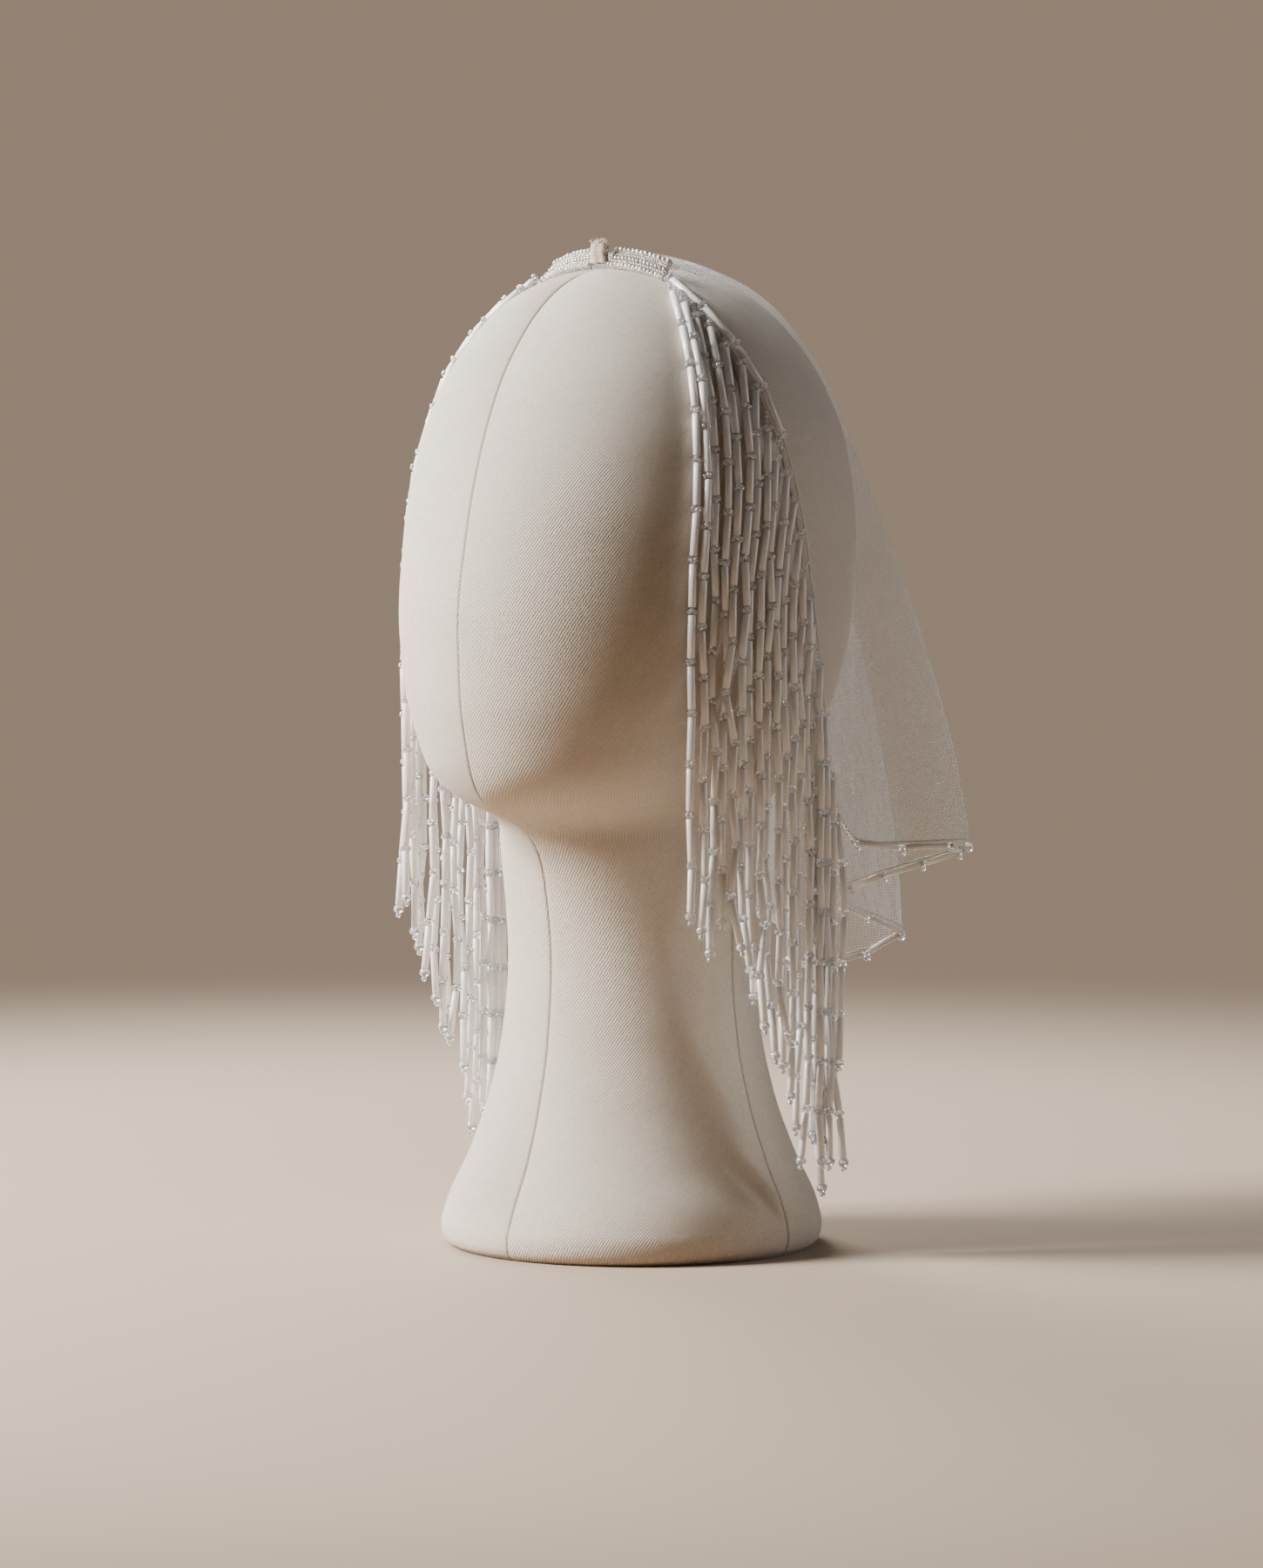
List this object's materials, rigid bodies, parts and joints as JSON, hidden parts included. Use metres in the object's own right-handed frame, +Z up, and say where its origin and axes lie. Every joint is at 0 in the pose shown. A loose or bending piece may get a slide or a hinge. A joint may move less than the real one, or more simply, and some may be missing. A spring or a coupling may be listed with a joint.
{
  "type": "bridal veil on a head form",
  "caption": "Short bridal veil of sheer net with a beaded crown band, bead-fringed front edges and a fluted hem, on a smooth linen head form.",
  "frame": {"origin": "centre of the head form's flat underside", "axes": "+Z up through the crown, the face side along -Y, +X the wearer's left"},
  "size_m": [0.214, 0.2407, 0.3969],
  "materials": {
    "linen": "off-white linen twill stretched over a firm head form",
    "tulle": "sheer off-white diamond net",
    "seed_beads": "silver-white seed beads sewn in rows on a firm band",
    "net_tape": "beige net tape folded into a small wad",
    "satin_glass": "white satin glass tube beads with clear bead joints"
  },
  "bodies": {
    "root": {"head_form": "linen", "veil_panel": "tulle", "band_left": "seed_beads", "band_right": "seed_beads", "centre_loop": "net_tape", "hem_beads": "satin_glass", "fringe_left": "satin_glass", "fringe_right": "satin_glass"}
  },
  "joints": []
}
